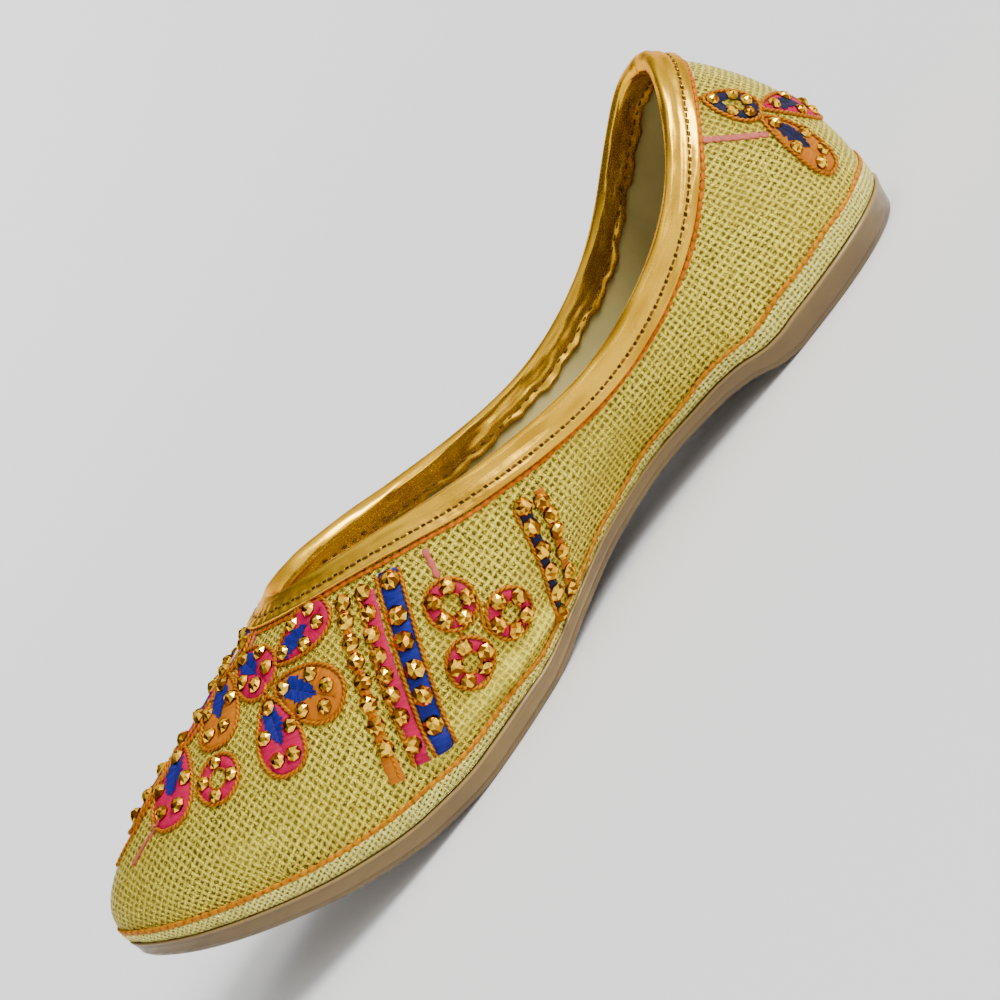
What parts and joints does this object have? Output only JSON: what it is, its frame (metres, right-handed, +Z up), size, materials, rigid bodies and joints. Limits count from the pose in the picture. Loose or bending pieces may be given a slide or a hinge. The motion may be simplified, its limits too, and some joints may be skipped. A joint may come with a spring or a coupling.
{
  "type": "mojari shoe",
  "caption": "Low slip-on mojari with a wide open collar, bound top line, blunt raised toe, thin moulded sole and low heel, embroidered with petals and studs; right shoe.",
  "frame": {"origin": "on the floor, under the middle of the shoe's box", "axes": "+Z up, toe towards -Y, heel towards +Y, medial side towards +X"},
  "size_m": [0.0846, 0.2516, 0.0677],
  "materials": {
    "outsole": "satin moulded sole, tan gold",
    "insole": "gold glitter mesh cloth",
    "upper": "gold woven mesh cloth on leather, embroidered",
    "collar_binding": "metallic gold leather"
  },
  "bodies": {
    "root": {"outsole": "outsole", "insole": "insole", "upper": "upper", "collar_binding": "collar_binding"}
  },
  "joints": []
}
